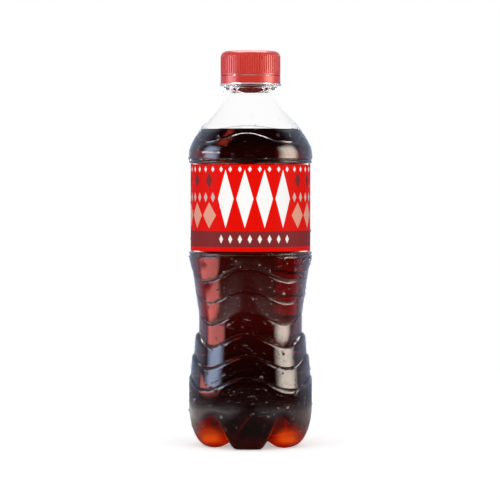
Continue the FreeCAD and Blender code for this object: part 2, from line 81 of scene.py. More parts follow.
half_sector = np.pi / FOOT_COUNT
pad_angle = FOOT_PAD_WIDTH / 2 / FOOT_CIRCLE_RADIUS
from_foot = np.abs((angles + half_sector) % (2 * half_sector) - half_sector)
foot_share = 1 - ease((from_foot - pad_angle) / (half_sector - pad_angle))


def base_ring(foot_radius, foot_height, valley_turn):
    """A ring of the base that runs from the feet's outline to the valleys' and back."""
    valley_radius = GATE_RADIUS + (BARREL_RADIUS - GATE_RADIUS) * math.sin(valley_turn)
    valley_height = HEEL_HEIGHT - (HEEL_HEIGHT - GATE_HEIGHT) * math.cos(valley_turn)
    radius = valley_radius + (foot_radius - valley_radius) * foot_share
    height = valley_height + (foot_height - valley_height) * foot_share
    rounded = (height + np.hypot(height, FOOT_ROUND)) / 2
    flat = (math.hypot(FOOT_CROWN, FOOT_ROUND) - FOOT_CROWN) / 2
    return ring(radius, np.maximum(rounded - flat * foot_share, 0))


outside = []
walls = []
foot_span = FOOT_CIRCLE_RADIUS - GATE_RADIUS
valley_middle = math.asin(foot_span / (BARREL_RADIUS - GATE_RADIUS))
for share in np.linspace(0, 1, INNER_FOOT_ROWS, endpoint=False):
    rise = (GATE_HEIGHT + FOOT_CROWN) * ease(1 - share) - FOOT_CROWN
    turn = math.asin(foot_span * share / (BARREL_RADIUS - GATE_RADIUS))
    outside.append(base_ring(GATE_RADIUS + foot_span * share, rise, turn))
    walls.append(FOOT_WALL + (GATE_WALL - FOOT_WALL) * (1 - share) ** 2)
for share in np.linspace(0, 1, OUTER_FOOT_ROWS):
    turn = np.pi / 2 * share
    reach = FOOT_CIRCLE_RADIUS + (BARREL_RADIUS - FOOT_CIRCLE_RADIUS) * math.sin(turn)
    rise = HEEL_HEIGHT - (HEEL_HEIGHT + FOOT_CROWN) * math.cos(turn)
    outside.append(base_ring(reach, rise, valley_middle + (np.pi / 2 - valley_middle) * share))
    walls.append(FOOT_WALL + (SIDE_WALL - FOOT_WALL) * share)

# the waist: bands like stacked cups, each wide edge rolled over to a thin crease, all on one wave
FIRST_RIB = 33.3
RIB_PITCH = 10.8
RIB_ROLL_CREST = 2.4
RIB_ROLL_TROUGH = 1.2
RIB_CREASE = 0.4
RIB_CREASE_WIDTH = 0.9
WAVE_COUNT = 4
WAVE_RISE = 3.2
BAND_DEPTHS = (0, 1.2, 3.1, 5.1, 4.1, 2.5, 0)
BAND_TAPERS = (0, 0.8, 0.8, 0, -1.6, -1.6, -1.0)
LOWER_GROOVE = 97.3
HOOP_HEIGHT = 1.7
HOOP_GROOVE = 0.5
ROW_RISES_OVER_HEEL = (2, 5, 8)
ROW_OFFSETS_AT_RIB = (0.01, 0.22, 0.45, 0.8, 1.3, 1.9, 2.6, 3.4, 4.2)
ROW_DROPS_UNDER_GROOVE = (0.4, 1.5, 3)
groove_start = LOWER_GROOVE - HOOP_HEIGHT / 2
ribs = [FIRST_RIB + RIB_PITCH * number for number in range(len(BAND_DEPTHS) - 1)]
wave = np.cos(WAVE_COUNT * angles)
rib_roll = RIB_ROLL_TROUGH + (RIB_ROLL_CREST - RIB_ROLL_TROUGH) * (1 + wave) / 2


def band_depth(band, level):
    """How far a band's face lies inside the barrel; it slants about its middle, the top one about its top."""
    below = ribs[band - 1] if band else HEEL_HEIGHT
    above = ribs[band] if band < len(ribs) else groove_start
    pivot = 0.5 if band < len(ribs) else 1.0
    return BAND_DEPTHS[band] + BAND_TAPERS[band] * ((level - below) / (above - below) - pivot)


def crease_depth(deepest, width, off):
    """How deep a rounded crease is at a distance from its middle."""
    return deepest * max(0, 1 - (2 * off / width) ** 2)


def waist_radius(level):
    """The waist's radius at a level along the wave, round the whole bottle."""
    band = sum(level > rib for rib in ribs)
    radius = BARREL_RADIUS - band_depth(band, level)
    for number, rib in enumerate(ribs):
        if band in (number, number + 1):
            neighbour = 2 * number + 1 - band
            step = max(0, band_depth(neighbour, rib) - band_depth(band, rib))
            radius = radius - step * np.clip(1 - abs(level - rib) / rib_roll, 0, 1) ** 2
    nearest = min(abs(level - rib) for rib in ribs)
    return radius - crease_depth(RIB_CREASE, RIB_CREASE_WIDTH, nearest)


levels = {HEEL_HEIGHT + rise for rise in ROW_RISES_OVER_HEEL}
levels.update(groove_start - drop for drop in ROW_DROPS_UNDER_GROOVE)
for rib in ribs:
    levels.update(rib + offset for offset in ROW_OFFSETS_AT_RIB)
    levels.update(rib - offset for offset in ROW_OFFSETS_AT_RIB)
for level in sorted(levels):
    rising = ease((level - HEEL_HEIGHT) / (ribs[0] - RIB_ROLL_TROUGH - HEEL_HEIGHT))
    falling = ease((groove_start - level) / (groove_start - ribs[-1] - RIB_ROLL_TROUGH))
    lift = WAVE_RISE * min(rising, falling) * wave
    outside.append(ring(waist_radius(level), level + lift))
    walls.append(SIDE_WALL)

# the two hoops that frame the sunk label panel, each with a groove beyond it
PANEL_DEPTH = 1.05
LABEL_MARGIN = 0.5
GROOVE_ROWS = 7
HOOP_ROWS = 12
label_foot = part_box("label")[0].z / MM
label_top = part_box("label")[1].z / MM
panel_foot = label_foot - LABEL_MARGIN
panel_top = label_top + LABEL_MARGIN


def hoop(panel_edge, groove):
    """Rows from the barrel through a groove and over a half-round hoop to the panel's edge."""
    away = np.sign(groove - panel_edge) * HOOP_HEIGHT / 2
    rows = []
    for share in np.linspace(0, 1, GROOVE_ROWS, endpoint=False):
        rows.append(ring(BARREL_RADIUS - HOOP_GROOVE * ease(share), groove + away * (1 - share)))
    for share in np.linspace(0, 1, HOOP_ROWS):
        floor = BARREL_RADIUS - HOOP_GROOVE + (HOOP_GROOVE - PANEL_DEPTH) * share
        crest = (BARREL_RADIUS - floor) * math.sin(np.pi * share)
        rows.append(ring(floor + crest, groove + (panel_edge - groove) * share))
    return rows


upper_groove = panel_top + HOOP_HEIGHT
panel_rows = hoop(panel_foot, LOWER_GROOVE) + hoop(panel_top, upper_groove)[::-1]
outside += panel_rows
walls += [SIDE_WALL] * len(panel_rows)

# the shoulder: one curve up to the throat, with a shallow crease that follows the waves
BULGE_HEIGHT = 3.4
SHOULDER_HEIGHT = 33.0
SHOULDER_FULLNESS = 8.8
THROAT_FULLNESS = 9.0
THROAT_RADIUS = 13.5
THROAT_WALL = 2.5
CREASE_RISE = 7.8
CREASE_WAVE = 2.8
CREASE_DEPTH = 0.35
CREASE_WIDTH = 1.6
CREASE_ROWS_REACH = 0.6
CREASE_ROWS = 13
SHOULDER_ROWS = 34
CURVE_POINTS = 400
shoulder_foot = upper_groove + BULGE_HEIGHT
shoulder_top = shoulder_foot + SHOULDER_HEIGHT
crease_level = shoulder_foot + CREASE_RISE
along = np.linspace(0, 1, CURVE_POINTS)
lower_pull = (1 - along) ** 3 + 3 * (1 - along) ** 2 * along
curve_radius = THROAT_RADIUS + (BARREL_RADIUS - THROAT_RADIUS) * lower_pull
curve_height = (
    (1 - along) ** 3 * shoulder_foot
    + 3 * (1 - along) ** 2 * along * (shoulder_foot + SHOULDER_FULLNESS)
    + 3 * (1 - along) * along ** 2 * (shoulder_top - THROAT_FULLNESS)
    + along ** 3 * shoulder_top
)
shoulder_levels = set(np.linspace(shoulder_foot, shoulder_top, SHOULDER_ROWS))
crease_offsets = CREASE_WIDTH * np.linspace(-CREASE_ROWS_REACH, CREASE_ROWS_REACH, CREASE_ROWS)
shoulder_levels.update(crease_level + crease_offsets)
outside.append(ring(BARREL_RADIUS, upper_groove + BULGE_HEIGHT / 2))
walls.append(SIDE_WALL)
for level in sorted(shoulder_levels):
    off = level - crease_level
    lift = CREASE_WAVE * max(0, 1 - (off / CREASE_RISE) ** 2) ** 2 * wave
    sunk = crease_depth(CREASE_DEPTH, CREASE_WIDTH, off)
    outside.append(ring(np.interp(level + lift, curve_height, curve_radius) - sunk, level + lift))
    share = (level - shoulder_foot) / SHOULDER_HEIGHT
    walls.append(SIDE_WALL + (THROAT_WALL - SIDE_WALL) * share ** 3)

# the inside of the wall, where the blown plastic smooths out the mould's small creases
EVENING_ROUNDS = 8
EVENING_REACH = 0.9
EVENING_SLOWNESS = 3


def inset(rows, depths):
    """Rows moved inwards, square to the surface they span."""
    moved = []
    for index, row in enumerate(rows):
        upward = rows[min(index + 1, len(rows) - 1)] - rows[max(index - 1, 0)]
        sideways = np.roll(row, -1, axis=0) - np.roll(row, 1, axis=0)
        outwards = np.cross(sideways, upward)
        outwards /= np.linalg.norm(outwards, axis=1)[:, None]
        moved.append(row - outwards * depths[index])
    return np.array(moved)


def evened(rows):
    """Rows with their small creases smoothed out."""
    for _ in range(EVENING_ROUNDS):
        steps = np.diff(rows, axis=0)
        lengths = np.linalg.norm(steps, axis=2, keepdims=True)
        pulls = steps * np.exp(-(lengths / EVENING_REACH) ** 2) / EVENING_SLOWNESS
        rows[1:-1] += pulls[1:] - pulls[:-1]
    return rows


inside = evened(inset(outside, walls))

# the neck finish: carrying ring, bead for the tamper band, vented right-hand thread and rounded lip
BORE_RADIUS = 10.87
ROOT_RADIUS = 12.47
RING_FOOT = 182.7
RING_TOP = 183.7
RING_RADIUS = 15.67
RING_ROUND = 0.35
BEAD_FOOT = 187.0
BEAD_RADIUS = 14.0
BEAD_FLAT = 0.4
BEAD_HEIGHT = 1.4
THREAD_START = 190.975
THREAD_PITCH = 2.7
THREAD_TURN = math.radians(650)
THREAD_DEPTH = 1.24
THREAD_FOOT = 1.3
THREAD_CREST = 0.7
THREAD_RUNOUT = math.radians(12)
THREAD_FROM = math.radians(90)
THREAD_PASSES = 2
VENT_COUNT = 4
VENT_WIDTH = 2.2
LIP_ROUND = 0.4
THROAT_STRAIGHT = 0.6
RING_CORNER = 0.1
BEAD_CORNER = 0.05
THREAD_ROW_STEP = 0.2
BORE_START = 2.0
BORE_ROWS = 6
EDGE_ROWS = 6


def edge_rows(centre_radius, centre_height, radius, start, end):
    """Rows over a rounded edge, between two angles in degrees from straight out."""
    turns = np.radians(np.linspace(start, end, EDGE_ROWS))
    return [ring(centre_radius + radius * math.cos(t), centre_height + radius * math.sin(t)) for t in turns]


def thread_ridge(height):
    """How far the neck thread stands out at a height, round the whole neck."""
    ridge = np.zeros(AROUND)
    for turns_before in range(THREAD_PASSES):
        turned = (angles - THREAD_FROM) % (2 * np.pi) + 2 * np.pi * turns_before
        off = np.abs(height - THREAD_START - THREAD_PITCH * turned / (2 * np.pi))
        flank = np.clip((THREAD_FOOT / 2 - off) / ((THREAD_FOOT - THREAD_CREST) / 2), 0, 1)
        ends = np.clip(np.minimum(turned, THREAD_TURN - turned) / THREAD_RUNOUT, 0, 1)
        ridge = np.maximum(ridge, THREAD_DEPTH * flank * ends)
    vent = 2 * np.pi / VENT_COUNT
    from_vent = np.abs((angles + vent / 2) % vent - vent / 2) * ROOT_RADIUS
    return ridge * (from_vent > VENT_WIDTH / 2)


finish = [ring(THROAT_RADIUS, RING_FOOT - THROAT_STRAIGHT), ring(THROAT_RADIUS, RING_FOOT - RING_CORNER)]
finish += [ring(THROAT_RADIUS + RING_CORNER, RING_FOOT)]
finish += edge_rows(RING_RADIUS - RING_ROUND, RING_FOOT + RING_ROUND, RING_ROUND, -90, 0)
finish += edge_rows(RING_RADIUS - RING_ROUND, RING_TOP - RING_ROUND, RING_ROUND, 0, 90)
finish += [ring(ROOT_RADIUS + RING_CORNER, RING_TOP), ring(ROOT_RADIUS, RING_TOP + RING_CORNER)]
finish += [ring(ROOT_RADIUS, BEAD_FOOT - BEAD_CORNER), ring(ROOT_RADIUS + BEAD_CORNER, BEAD_FOOT)]
finish += [ring(BEAD_RADIUS - BEAD_CORNER, BEAD_FOOT), ring(BEAD_RADIUS, BEAD_FOOT + BEAD_CORNER)]
finish += [ring(BEAD_RADIUS, BEAD_FOOT + BEAD_FLAT), ring(ROOT_RADIUS, BEAD_FOOT + BEAD_HEIGHT)]
first_thread_row = BEAD_FOOT + BEAD_HEIGHT + THREAD_ROW_STEP
for height in np.arange(first_thread_row, LIP - LIP_ROUND, THREAD_ROW_STEP):
    finish.append(ring(ROOT_RADIUS + thread_ridge(height), height))
finish += edge_rows(ROOT_RADIUS - LIP_ROUND, LIP - LIP_ROUND, LIP_ROUND, 0, 90)
finish += edge_rows(BORE_RADIUS + LIP_ROUND, LIP - LIP_ROUND, LIP_ROUND, 90, 180)
finish += [ring(BORE_RADIUS, height) for height in np.linspace(LIP - BORE_START, RING_FOOT, BORE_ROWS)]


def joined_rows(rows):
    """Faces that join each row of points to the next one, all the way round."""
    count = len(rows[0])
    faces = []
    for near in range(0, (len(rows) - 1) * count, count):
        far = near + count
        for step in range(count):
            following = (step + 1) % count
            faces.append((near + step, near + following, far + following, far + step))
    return faces


def new_piece(name, points, faces):
    """A mesh object from points in metres."""
    mesh = bpy.data.meshes.new(name)
    mesh.from_pydata(np.asarray(points).tolist(), [], faces)
    piece = bpy.data.objects.new(name, mesh)
    bpy.context.scene.collection.objects.link(piece)
    return piece


def closed_piece(name, rows):
    """A smooth piece over rows of points, with each end row closed to a point."""
    count = len(rows[0])
    points = np.concatenate([*rows, [rows[0].mean(axis=0), rows[-1].mean(axis=0)]])
    faces = joined_rows(rows)
    last_tip = len(points) - 1
    first_tip = last_tip - 1
    last_row = first_tip - count
    for step in range(count):
        following = (step + 1) % count
        faces.append((first_tip, following, step))
        faces.append((last_tip, last_row + step, last_row + following))
    piece = new_piece(name, points * MM, faces)
    piece.data.shade_smooth()
    return piece


def linear(colour):
    """An sRGB hex colour as linear RGBA."""
    channels = [int(colour[start:start + 2], 16) / 255 for start in (1, 3, 5)]
    return [c / 12.92 if c <= 0.04045 else ((c + 0.055) / 1.055) ** 2.4 for c in channels] + [1.0]


def add_node(tree, kind, settings=None, inputs=None):
    """A node with its settings, and its inputs given as values or as sockets to link from."""
    node = tree.nodes.new(kind)
    for name, setting in (settings or {}).items():
        setattr(node, name, setting)
    for name, content in (inputs or {}).items():
        if isinstance(content, bpy.types.NodeSocket):
            tree.links.new(content, node.inputs[name])
        else:
            node.inputs[name].default_value = content
    return node


def new_material(name):
    """An empty material with its output and Object coordinates."""
    material = bpy.data.materials.new(name)
    material.use_nodes = True
    tree = material.node_tree
    tree.nodes.clear()
    output = add_node(tree, "ShaderNodeOutputMaterial")
    place = add_node(tree, "ShaderNodeTexCoord").outputs["Object"]
    return material, tree, output, place


# blown PET: glass-clear and glossy, with the faint waviness that the stretched wall keeps; where the
# drink wets it, its inside has no gleam of its own, and the dry wall over the drink all but vanishes
PET_IOR = 1.575
DRY_WALL_IOR = 1.15
PET_ROUGHNESS = 0.015
PET_WAVE_LENGTH = 9.0
PET_WAVE_HEIGHT = 0.3
PET_WAVE_STRENGTH = 0.08
FULL_GLEAM = "#ffffff"
NO_GLEAM = "#000000"


def clear_pet(name, ior, gleam, waviness):
    """Clear PET that bends light by its index, with a tint for its gleam and a strength for its waves."""
    pet, tree, output, place = new_material(name)
    waves = add_node(tree, "ShaderNodeTexNoise", inputs={
        "Vector": place, "Scale": 1 / (PET_WAVE_LENGTH * MM), "Detail": 1.0})
    bump = add_node(tree, "ShaderNodeBump", inputs={
        "Height": waves.outputs["Fac"], "Strength": waviness, "Distance": PET_WAVE_HEIGHT * MM})
    shader = add_node(tree, "ShaderNodeBsdfPrincipled", inputs={
        "Base Color": linear("#ffffff"), "Transmission Weight": 1.0, "IOR": ior, "Roughness": PET_ROUGHNESS,
        "Specular Tint": linear(gleam), "Normal": bump.outputs["Normal"]})
    tree.links.new(shader.outputs["BSDF"], output.inputs["Surface"])
    return pet


FILL_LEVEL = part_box("drink")[1].z / MM
DRY_WALL_START = 0.5
DRY_WALL_END = 1.0
WETTED_INDEX = 1
DRY_INDEX = 2
bottle_rows = outside + finish + list(inside[::-1])
bottle = closed_piece("clear_bottle", bottle_rows)
bottle.data.materials.append(clear_pet("blown_clear_pet", PET_IOR, FULL_GLEAM, PET_WAVE_STRENGTH))
bottle.data.materials.append(clear_pet("wetted_clear_pet", PET_IOR, NO_GLEAM, 0.0))
bottle.data.materials.append(clear_pet("thin_dry_pet", DRY_WALL_IOR, FULL_GLEAM, PET_WAVE_STRENGTH))
row_heights = [row[:, 2].mean() for row in bottle_rows] + [0]
first_inner_row = len(outside) + len(finish)
for face in bottle.data.polygons:
    row = min(face.index // AROUND, len(bottle_rows))
    if row >= first_inner_row and row_heights[row] < FILL_LEVEL:
        face.material_index = WETTED_INDEX
    elif FILL_LEVEL + DRY_WALL_START < row_heights[row] < shoulder_top - DRY_WALL_END:
        face.material_index = DRY_INDEX
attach(bottle, "bottle")
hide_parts("bottle")

# Drink: dark cola that wets the wall up to the shoulder, where it climbs the wall in a small meniscus.
# Its skin reaches a hair into the wall, so that light passes straight from the wall into the drink.

WETTING = 0.06
MENISCUS_RISE = 1.0
MENISCUS_REACH = 1.2
SHOULDER_DRINK_START = 0.4
SHOULDER_DRINK_ROWS = 28
SURFACE_RINGS_IN = (0.15, 0.4, 0.8, 1.4, 2.2, 3.4, 5.5, 9, 14, 19)
wetted = inset(inside, [-WETTING] * len(inside))
submerged = [row for row in wetted if row[:, 2].max() < shoulder_foot]
column_heights = np.array([row[:, 2] for row in wetted[len(submerged):]])
column_radii = np.array([np.hypot(row[:, 0], row[:, 1]) for row in wetted[len(submerged):]])


def wetted_ring(height, away=0.0):
    """A level ring of the drink against the wall, or some way in from it."""
    columns = range(AROUND)
    radii = np.array([np.interp(height, column_heights[:, c], column_radii[:, c]) for c in columns])
    return ring(radii - away, height)


drink_levels = np.linspace(shoulder_foot + SHOULDER_DRINK_START, FILL_LEVEL, SHOULDER_DRINK_ROWS)
drink_rows = submerged + [wetted_ring(height) for height in drink_levels]
for away in SURFACE_RINGS_IN:
    sunk = MENISCUS_RISE * (1 - math.exp(-away / MENISCUS_REACH))
    drink_rows.append(wetted_ring(FILL_LEVEL, away) - (0, 0, sunk))

# cola: water dyed with caramel, almost black through the body and clear orange where it is thin; a faint
# glow stands in for the light that gathers in the waist and low in the feet at the bottle's two sides
COLA_IOR = 1.34
ABSORPTION_PER_METRE = 500.0
LEAST_GLOW = 0.003
WAIST_GLOW = 0.02
FEET_GLOW = 0.5
WAIST_GLOW_LOW = (35 * MM, 70 * MM)
WAIST_GLOW_HIGH = (150 * MM, 100 * MM)
FEET_GLOW_LOW = (0, 4.5 * MM)
FEET_GLOW_HIGH = (16 * MM, 5 * MM)
FEET_GLOW_INNER = (9 * MM, 18 * MM)
FEET_GLOW_OUTER = (29 * MM, 21 * MM)

# a Mix node's two colour inputs and its colour output, by number
MIX_FROM = 6
MIX_TO = 7
MIX_RESULT = 2


def fading_mask(tree, *borders):
    """A mask that fades in over borders, each a coordinate, where it starts and where it is full."""
    mask = 1.0
    for coordinate, start, full in borders:
        border = add_node(tree, "ShaderNodeMapRange", {"interpolation_type": "SMOOTHSTEP"}, {
            "Value": coordinate, "From Min": start, "From Max": full})
        product = add_node(tree, "ShaderNodeMath", {"operation": "MULTIPLY"}, {
            0: mask, 1: border.outputs[0]})
        mask = product.outputs[0]
    return mask


cola, tree, output, place = new_material("cola_with_caramel")
spot = add_node(tree, "ShaderNodeSeparateXYZ", inputs={0: place})
up = spot.outputs["Z"]
aside = add_node(tree, "ShaderNodeMath", {"operation": "ABSOLUTE"}, {0: spot.outputs["X"]}).outputs[0]
in_waist = fading_mask(tree, (up, *WAIST_GLOW_LOW), (up, *WAIST_GLOW_HIGH))
in_feet = fading_mask(
    tree, (up, *FEET_GLOW_HIGH), (up, *FEET_GLOW_LOW), (aside, *FEET_GLOW_INNER), (aside, *FEET_GLOW_OUTER))
waist_glow = add_node(tree, "ShaderNodeMapRange", inputs={
    "Value": in_waist, "To Min": LEAST_GLOW, "To Max": WAIST_GLOW})
deep_in_feet = add_node(tree, "ShaderNodeMath", {"operation": "MULTIPLY"}, {0: in_feet, 1: in_feet})
glow = add_node(tree, "ShaderNodeMath", {"operation": "MULTIPLY_ADD"}, {
    0: deep_in_feet.outputs[0], 1: FEET_GLOW, 2: waist_glow.outputs[0]})
glow_colour = add_node(tree, "ShaderNodeMix", {"data_type": "RGBA"}, {
    "Factor": in_feet, MIX_FROM: linear("#ff4020"), MIX_TO: linear("#ff620c")})
shader = add_node(tree, "ShaderNodeBsdfPrincipled", inputs={
    "Base Color": linear("#ffffff"), "Transmission Weight": 1.0, "IOR": COLA_IOR, "Roughness": 0.0,
    "Specular Tint": linear(NO_GLEAM), "Emission Color": glow_colour.outputs[MIX_RESULT],
    "Emission Strength": glow.outputs[0]})
depth_colour = add_node(tree, "ShaderNodeVolumeAbsorption", inputs={
    "Color": linear("#ecc450"), "Density": ABSORPTION_PER_METRE})
tree.links.new(shader.outputs["BSDF"], output.inputs["Surface"])
tree.links.new(depth_colour.outputs["Volume"], output.inputs["Volume"])

drink = closed_piece("cola_fill", drink_rows)
drink.data.materials.append(cola)
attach(drink, "bottle")
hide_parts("drink")

# Label: a strip of printed polypropylene film, cut from a reel and wrapped once round the sunk panel,
# with its tail lapped over its start at the back.

FILM = 0.1
GLUE_FILM = 0.1
LABEL_LAP = 8.0
LABEL_RAMP = 3.0
LABEL_STEPS = 260
SHARP_EDGE = math.radians(40)
label_bore = BARREL_RADIUS - PANEL_DEPTH + GLUE_FILM
circumference = 2 * np.pi * label_bore
strip_length = circumference + LABEL_LAP
corners = []
corner_places = []
for reached in np.linspace(0, strip_length, LABEL_STEPS):
    turn = reached / label_bore
    climb = ease((reached - circumference + LABEL_RAMP) / LABEL_RAMP) * (FILM + GLUE_FILM)
    for height in (label_foot, label_top):
        for radius in (label_bore + climb, label_bore + climb + FILM):
            corners.append((-radius * math.sin(turn) * MM, radius * math.cos(turn) * MM, height * MM))
            corner_places.append((reached - strip_length / 2, height - label_foot))
section = (0, 1, 3, 2)
last_section = len(section) * (LABEL_STEPS - 1)
faces = [section[::-1], tuple(last_section + corner for corner in section)]
for near in range(0, last_section, len(section)):
    far = near + len(section)
    for corner, following in zip(section, section[1:] + section[:1]):
        faces.append((near + corner, near + following, far + following, far + corner))
label = new_piece("label_film", corners, faces)
label.data.shade_smooth()
label.data.set_sharp_from_angle(angle=SHARP_EDGE)
uv_map = label.data.uv_layers.new(name="print")
for corner in label.data.loops:
    uv_map.data[corner.index].uv = corner_places[corner.vertex_index]

# printed film: gravure inks under a satin skin, so the colours stay clear with hardly any gleam; the
# print is a harlequin of lozenges over a plain stripe, laid out in cells along the strip
CELLS_ROUND = 20
CELL = strip_length / CELLS_ROUND
CELLS_A_QUARTER = CELLS_ROUND / 4
WHITE_CELLS = 2
STRIPE_MIDDLE = 6.2
STRIPE_HEIGHT = 8.0
SOFT_EDGE = 0.02
RED_INK = "#e60d03"
MAROON_INK = "#822a2b"
PEACH_INK = "#e7a18a"
SAND_INK = "#d4b9ae"
CREAM_INK = "#f6efec"
WHITE_INK = "#fbf9f7"
FILM_IOR = 1.49
FILM_GLEAM = 0.02
FILM_SMOOTHEST = 0.4
FILM_ROUGHEST = 0.5
WRINKLE_LENGTH = 14.0
WRINKLE_HEIGHT = 0.3
WRINKLE_STRENGTH = 0.1
film, tree, output, place = new_material("printed_polypropylene_film")
print_place = add_node(tree, "ShaderNodeUVMap", {"uv_map": "print"})
split = add_node(tree, "ShaderNodeSeparateXYZ", inputs={0: print_place.outputs["UV"]})
cells = add_node(tree, "ShaderNodeMath", {"operation": "DIVIDE"}, {0: split.outputs["X"], 1: CELL}).outputs[0]
up = split.outputs["Y"]
from_middle = add_node(tree, "ShaderNodeMath", {"operation": "PINGPONG"}, {0: cells, 1: CELLS_A_QUARTER})
in_middle = add_node(tree, "ShaderNodeMath", {"operation": "LESS_THAN"}, {
    0: from_middle.outputs[0], 1: WHITE_CELLS})
on_flanks = add_node(tree, "ShaderNodeMath", {"operation": "GREATER_THAN"}, {
    0: from_middle.outputs[0], 1: WHITE_CELLS})
in_stripe = add_node(tree, "ShaderNodeMath", {"operation": "COMPARE"}, {
    0: up, 1: STRIPE_MIDDLE, 2: STRIPE_HEIGHT / 2})


def lozenges(per_cell, middle, height, width):
    """A mask of a row of upright lozenges along the print; the width is a share of the space for each."""
    sideways = (
        ("MULTIPLY", per_cell), ("FRACT", 0), ("SUBTRACT", 0.5), ("ABSOLUTE", 0), ("DIVIDE", width / 2))
    upwards = (("SUBTRACT", middle), ("ABSOLUTE", 0), ("DIVIDE", height / 2))
    outwards = []
    for value, steps in ((cells, sideways), (up, upwards)):
        for operation, amount in steps:
            result = add_node(tree, "ShaderNodeMath", {"operation": operation}, {0: value, 1: amount})
            value = result.outputs[0]
        outwards.append(value)
    off = add_node(tree, "ShaderNodeMath", {"operation": "ADD"}, {0: outwards[0], 1: outwards[1]})
    mask = add_node(tree, "ShaderNodeMapRange", inputs={
        "Value": off.outputs[0], "From Min": 1 + SOFT_EDGE, "From Max": 1 - SOFT_EDGE})
    return mask.outputs[0]


# the inks in the order of printing; a row of lozenges has its stretch of the strip, its ink, how many
# there are in a cell, and the middle, height and share of width of each
everywhere = 1.0
middle_stretch = in_middle.outputs[0]
flank_stretch = on_flanks.outputs[0]
lozenge_rows = (
    (flank_stretch, MAROON_INK, 1, 35.5, 8.0, 0.5),
    (flank_stretch, PEACH_INK, 1, 18.0, 13.0, 0.9),
    (flank_stretch, SAND_INK, 2, 27.0, 5.0, 0.55),
    (everywhere, CREAM_INK, 2, 41.0, 3.0, 0.4),
    (middle_stretch, WHITE_INK, 1, 26.3, 29.0, 0.86),
    (middle_stretch, CREAM_INK, 2, STRIPE_MIDDLE, 4.4, 0.45),
)
inks = []
for stretch, ink, per_cell, middle, height, width in lozenge_rows:
    row_mask = add_node(tree, "ShaderNodeMath", {"operation": "MULTIPLY"}, {
        0: lozenges(per_cell, middle, height, width), 1: stretch})
    inks.append((row_mask.outputs[0], ink))
inks.insert(-1, (in_stripe.outputs[0], MAROON_INK))
colour = linear(RED_INK)
for mask, ink in inks:
    printed = add_node(tree, "ShaderNodeMix", {"data_type": "RGBA"}, {
        "Factor": mask, MIX_FROM: colour, MIX_TO: linear(ink)})
    colour = printed.outputs[MIX_RESULT]
wrinkles = add_node(tree, "ShaderNodeTexNoise", inputs={
    "Vector": place, "Scale": 1 / (WRINKLE_LENGTH * MM), "Detail": 2.0})
bump = add_node(tree, "ShaderNodeBump", inputs={
    "Height": wrinkles.outputs["Fac"], "Strength": WRINKLE_STRENGTH, "Distance": WRINKLE_HEIGHT * MM})
satin = add_node(tree, "ShaderNodeMapRange", inputs={
    "Value": wrinkles.outputs["Fac"], "To Min": FILM_SMOOTHEST, "To Max": FILM_ROUGHEST})
shader = add_node(tree, "ShaderNodeBsdfPrincipled", inputs={
    "Base Color": colour, "Roughness": satin.outputs[0], "IOR": FILM_IOR, "Specular IOR Level": FILM_GLEAM,
    "Normal": bump.outputs["Normal"]})
tree.links.new(shader.outputs["BSDF"], output.inputs["Surface"])
label.data.materials.append(film)
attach(label, "bottle")
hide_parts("label")

# Glue: two upright strips of amber hot-melt, rolled on hot as thin films. One holds the start of the label
# on the bottle, and the other holds its tail on its start.

# hot-melt glue: amber and cloudy, with small paler bubbles left by the roller
GLUE_BUBBLE = 0.8
GLUE_ROUGHNESS = 0.45
GLUE_CLOUDINESS = 0.2
glue, tree, output, place = new_material("amber_hot_melt_glue")
bubbles = add_node(tree, "ShaderNodeTexVoronoi", inputs={"Vector": place, "Scale": 1 / (GLUE_BUBBLE * MM)})
cloud = add_node(tree, "ShaderNodeMix", {"data_type": "RGBA"}, {
    "Factor": bubbles.outputs["Distance"], MIX_FROM: linear("#d9c48a"), MIX_TO: linear("#f0e6c4")})
shader = add_node(tree, "ShaderNodeBsdfPrincipled", inputs={
    "Base Color": cloud.outputs[MIX_RESULT], "Roughness": GLUE_ROUGHNESS,
    "Subsurface Weight": GLUE_CLOUDINESS})
tree.links.new(shader.outputs["BSDF"], output.inputs["Surface"])
for name in ("label_pickup_glue", "label_lap_glue"):
    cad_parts[name].data.materials.clear()
    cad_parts[name].data.materials.append(glue)

# Liner: a soft disc of milky polyethylene, punched from sheet and pressed into the cap, where it seals
# the bottle's lip.

# milky polyethylene: dull and white, with faint clouding
LINER_CLOUD = 1.5
LINER_ROUGHNESS = 0.5
LINER_MILKINESS = 0.3
liner_plastic, tree, output, place = new_material("milky_liner_polyethylene")
clouding = add_node(tree, "ShaderNodeTexNoise", inputs={"Vector": place, "Scale": 1 / (LINER_CLOUD * MM)})
tint = add_node(tree, "ShaderNodeMix", {"data_type": "RGBA"}, {
    "Factor": clouding.outputs["Fac"], MIX_FROM: linear("#e4e8ea"), MIX_TO: linear("#f2f4f4")})
shader = add_node(tree, "ShaderNodeBsdfPrincipled", inputs={
    "Base Color": tint.outputs[MIX_RESULT], "Roughness": LINER_ROUGHNESS,
    "Subsurface Weight": LINER_MILKINESS})
tree.links.new(shader.outputs["BSDF"], output.inputs["Surface"])
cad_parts["cap_liner"].data.materials.clear()
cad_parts["cap_liner"].data.materials.append(liner_plastic)

# Cap and tamper band: injection-moulded polyethylene, red all through. The cap has fine grip ribs and screws
# onto the neck. The band is moulded with it, and stays on the neck once its bridges have snapped.

